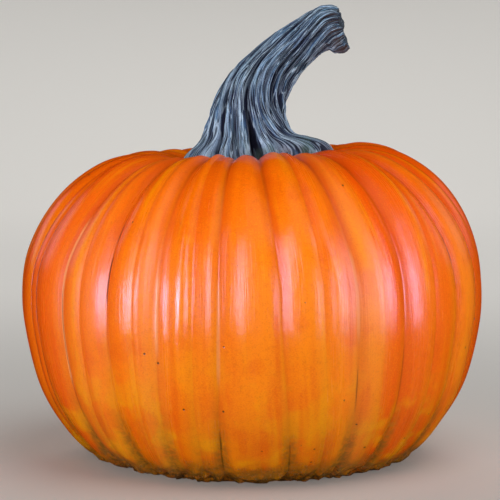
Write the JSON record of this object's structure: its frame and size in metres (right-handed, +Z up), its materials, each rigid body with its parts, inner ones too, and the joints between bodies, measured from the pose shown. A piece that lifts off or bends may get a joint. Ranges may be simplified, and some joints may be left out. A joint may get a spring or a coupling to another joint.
{
  "type": "pumpkin",
  "caption": "Ribbed orange pumpkin with a dry, twisted, curved stem, standing on its flattened underside.",
  "frame": {"origin": "middle of the underside, at the level that the pumpkin stands on", "axes": "+Z up along the fruit's core; the stem leans and points to +X; -Y is the front"},
  "size_m": [0.3034, 0.304, 0.2971],
  "materials": {
    "rind": "satin",
    "dry_stem": "matte"
  },
  "bodies": {
    "root": {"fruit": "rind", "stem": "dry_stem"}
  },
  "joints": []
}
